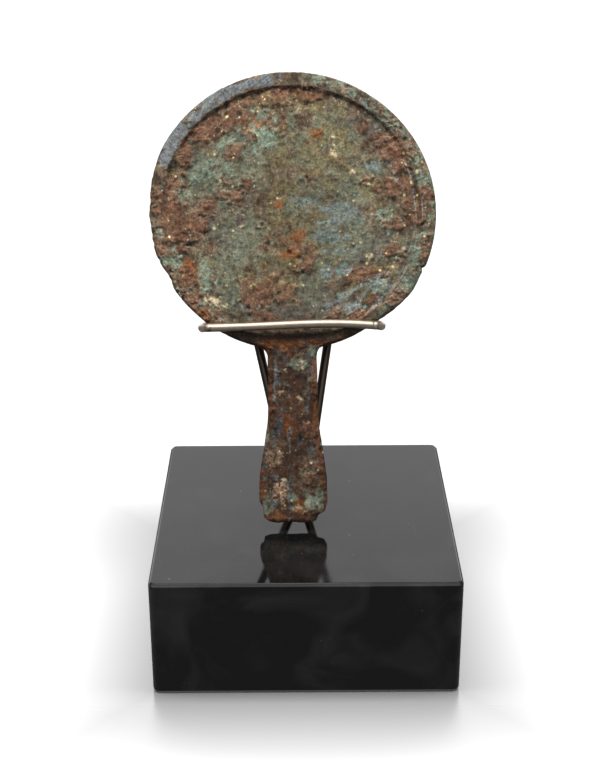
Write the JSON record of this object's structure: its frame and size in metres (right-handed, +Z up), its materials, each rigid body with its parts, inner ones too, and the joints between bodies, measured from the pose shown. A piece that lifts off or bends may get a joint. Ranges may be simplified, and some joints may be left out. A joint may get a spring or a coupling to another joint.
{
  "type": "bronze hand mirror on a wire cradle",
  "caption": "Round cast bronze hand mirror with a raised rim and short flared handle, corroded, leaning back in a bent wire cradle set in a polished stone block.",
  "frame": {"origin": "centre of the stone block's flat underside", "axes": "+Z up, -Y the side that the mirror's face looks to, +X to the right of someone who looks at its face"},
  "size_m": [0.1039, 0.1196, 0.1778],
  "materials": {
    "bronze": "corroded cast bronze, matt brown and green patina with granular red crust",
    "wire": "bright drawn wire, lightly brushed",
    "stone": "black stone, machine polished"
  },
  "bodies": {
    "root": {"bronze_mirror": "bronze", "wire_cradle": "wire", "stone_block": "stone"}
  },
  "joints": []
}
